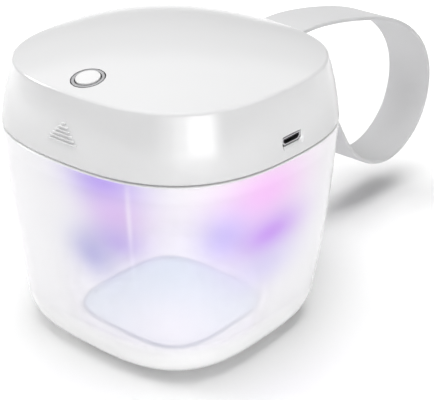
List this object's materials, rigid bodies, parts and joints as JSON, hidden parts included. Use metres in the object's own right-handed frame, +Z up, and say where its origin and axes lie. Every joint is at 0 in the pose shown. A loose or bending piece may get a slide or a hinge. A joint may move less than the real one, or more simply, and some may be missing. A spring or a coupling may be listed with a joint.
{
  "type": "pacifier sterilizer case",
  "caption": "Squircle tub with a flip-top lid that holds a UV lamp, battery and button, and a strap loop at its back.",
  "frame": {"origin": "centre of the flat underside", "axes": "+Z up; +Y towards the hinge and the strap, so -Y is the front with the grip ribs; +X towards the charging socket"},
  "size_m": [0.08, 0.1579, 0.0798],
  "materials": {
    "milky_plastic": "milky translucent, glossy",
    "clear_plastic": "clear, polished",
    "white_plastic": "white, satin gloss",
    "inner_plastic": "white, matte",
    "grey_trim": "grey, satin",
    "seal_rubber": "pale silicone, matte",
    "strap_rubber": "light grey silicone, satin",
    "steel": "nickel plated",
    "black_plastic": "black, matte",
    "board_laminate": "green solder mask",
    "cell_foil": "satin foil",
    "led_ceramic": "ceramic with a clear lens",
    "red_wire": "red insulation"
  },
  "bodies": {
    "case": {"body_shell": "milky_plastic", "floor_plate": "clear_plastic", "body_magnet": "steel", "hinge_pin": "steel"},
    "lid": {"lid_shell": "white_plastic", "lid_inner_cover": "inner_plastic", "lid_gasket": "seal_rubber", "lid_screw_1": "steel", "lid_screw_2": "steel", "lid_screw_3": "steel", "lid_screw_4": "steel", "lamp_window": "clear_plastic", "window_seal": "seal_rubber", "uv_led_1": "led_ceramic", "uv_led_2": "led_ceramic", "uv_led_3": "led_ceramic", "main_board": "board_laminate", "board_screw_1": "steel", "board_screw_2": "steel", "board_screw_3": "steel", "board_screw_4": "steel", "control_chip": "black_plastic", "hall_sensor": "black_plastic", "tact_switch": "black_plastic", "usb_shell": "steel", "usb_tongue": "black_plastic", "battery": "cell_foil", "battery_pad": "seal_rubber", "battery_socket": "inner_plastic", "battery_lead_red": "red_wire", "battery_lead_black": "black_plastic", "button_ring": "grey_trim", "strap_bar": "steel"},
    "button": {"button_cap": "white_plastic", "switch_plunger": "black_plastic"},
    "strap": {"strap": "strap_rubber", "strap_snap_cap": "steel", "strap_snap_stud": "steel"}
  },
  "joints": [
    {"name": "lid_hinge", "type": "hinge", "parent": "case", "child": "lid", "pos_m": [0, 0.043, 0.058], "axis": [-1, 0, 0], "range_deg": [0, 95]},
    {"name": "button_press", "type": "slide", "parent": "lid", "child": "button", "axis": [0, 0.2107, -0.9776], "range_m": [0, 0.0004], "stiffness_N_per_m": 1200},
    {"name": "strap_swing", "type": "hinge", "parent": "lid", "child": "strap", "pos_m": [0, 0.0436, 0.0674], "axis": [1, 0, 0], "range_deg": [0, 95]}
  ],
  "couplings": [
    {"joint": "strap_swing", "follows": "lid_hinge", "ratio": 1}
  ]
}
